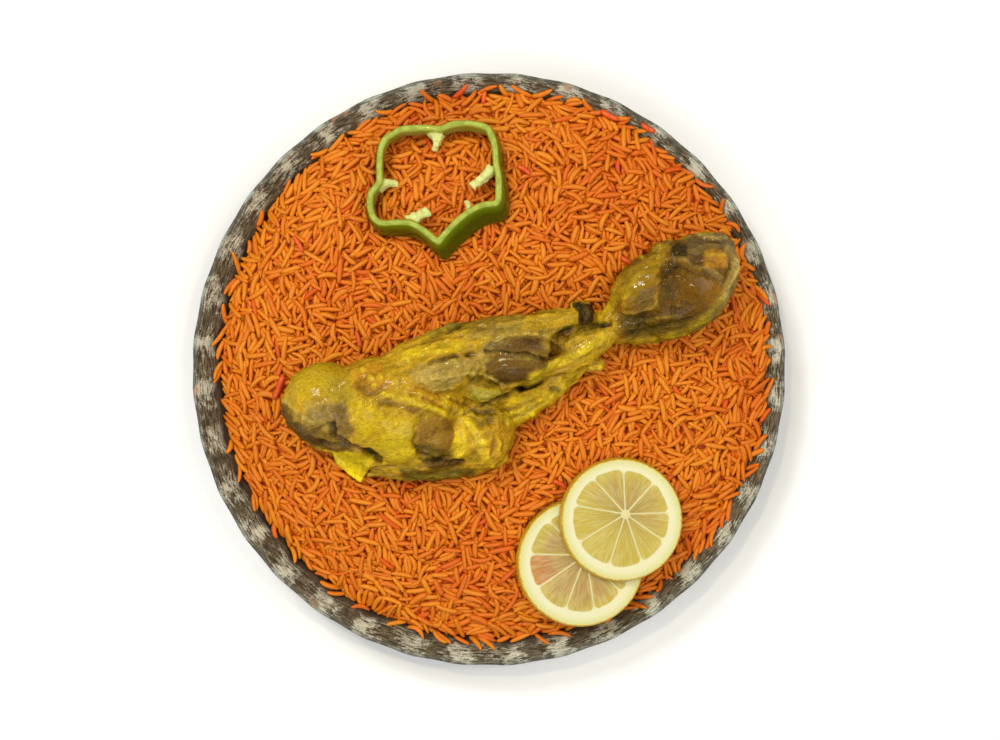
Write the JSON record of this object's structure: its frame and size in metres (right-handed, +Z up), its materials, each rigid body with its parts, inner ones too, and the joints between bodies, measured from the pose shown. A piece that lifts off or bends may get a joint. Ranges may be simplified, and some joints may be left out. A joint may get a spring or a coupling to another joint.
{
  "type": "meat mandi",
  "caption": "Cooked lamb shank on a level heap of orange rice in a round fluted metal tray, with a green pepper ring and lemon slices.",
  "frame": {"origin": "middle of the tray's flat base, on the surface it stands on", "axes": "+Z up out of the tray; +X towards the shank's narrow bone end, +Y towards the pepper ring"},
  "size_m": [0.2794, 0.2794, 0.0649],
  "materials": {
    "aged_metal": "beaten, worn and darkened in the flutes",
    "orange_rice": "moist, soft sheen",
    "cooked_meat": "wet and oily",
    "green_pepper": "waxy skin, moist cut face",
    "lemon": "moist pulp, matte pith, pebbled rind"
  },
  "bodies": {
    "root": {"tray": "aged_metal", "rice_heap": "orange_rice", "lamb_shank": "cooked_meat", "pepper_ring": "green_pepper", "lemon_slice_lower": "lemon", "lemon_slice_upper": "lemon"}
  },
  "joints": []
}
